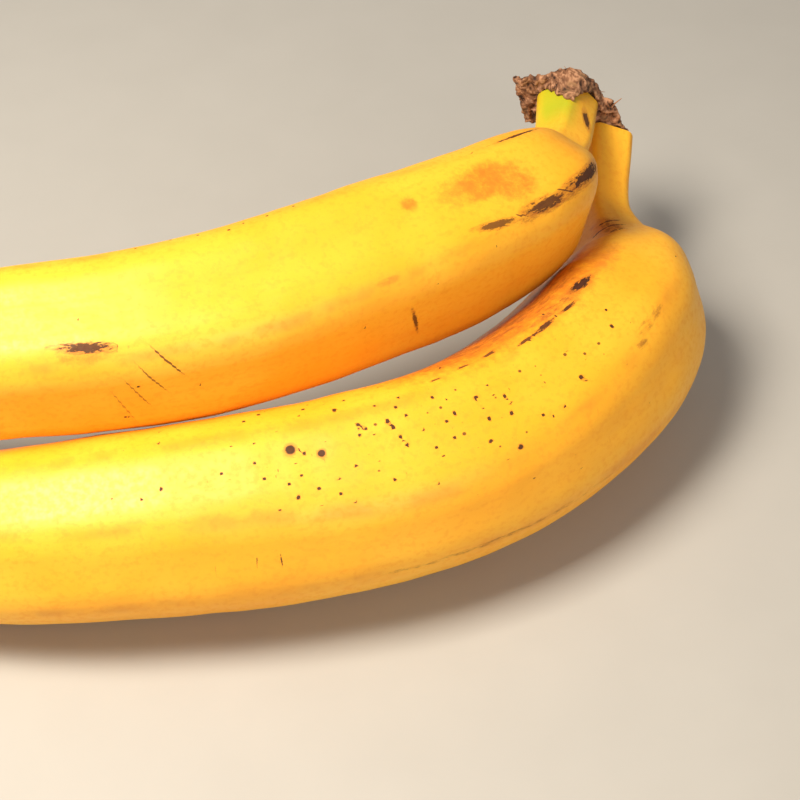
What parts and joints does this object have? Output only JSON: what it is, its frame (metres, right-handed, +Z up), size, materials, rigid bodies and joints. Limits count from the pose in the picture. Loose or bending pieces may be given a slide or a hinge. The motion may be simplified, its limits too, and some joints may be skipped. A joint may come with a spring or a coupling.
{
  "type": "pair of bananas",
  "caption": "Pair of ripe bananas joined at a dried brown crown, lying down with the upper fruit leaning on the lower one.",
  "frame": {"origin": "on the surface that the pair lies on, under the middle of its plan", "axes": "+X along the fruits towards the stalk end, -Y the side of the outer curves, +Z up"},
  "size_m": [0.1952, 0.12, 0.0623],
  "materials": {
    "banana_skin": "ripe yellow peel, waxy satin, with brown specks, bruised ridges and a greenish stalk",
    "dried_stem": "dry wrinkled brown stem tissue, matte and fibrous"
  },
  "bodies": {
    "root": {"lower_banana": "banana_skin", "upper_banana": "banana_skin", "crown": "dried_stem"}
  },
  "joints": []
}
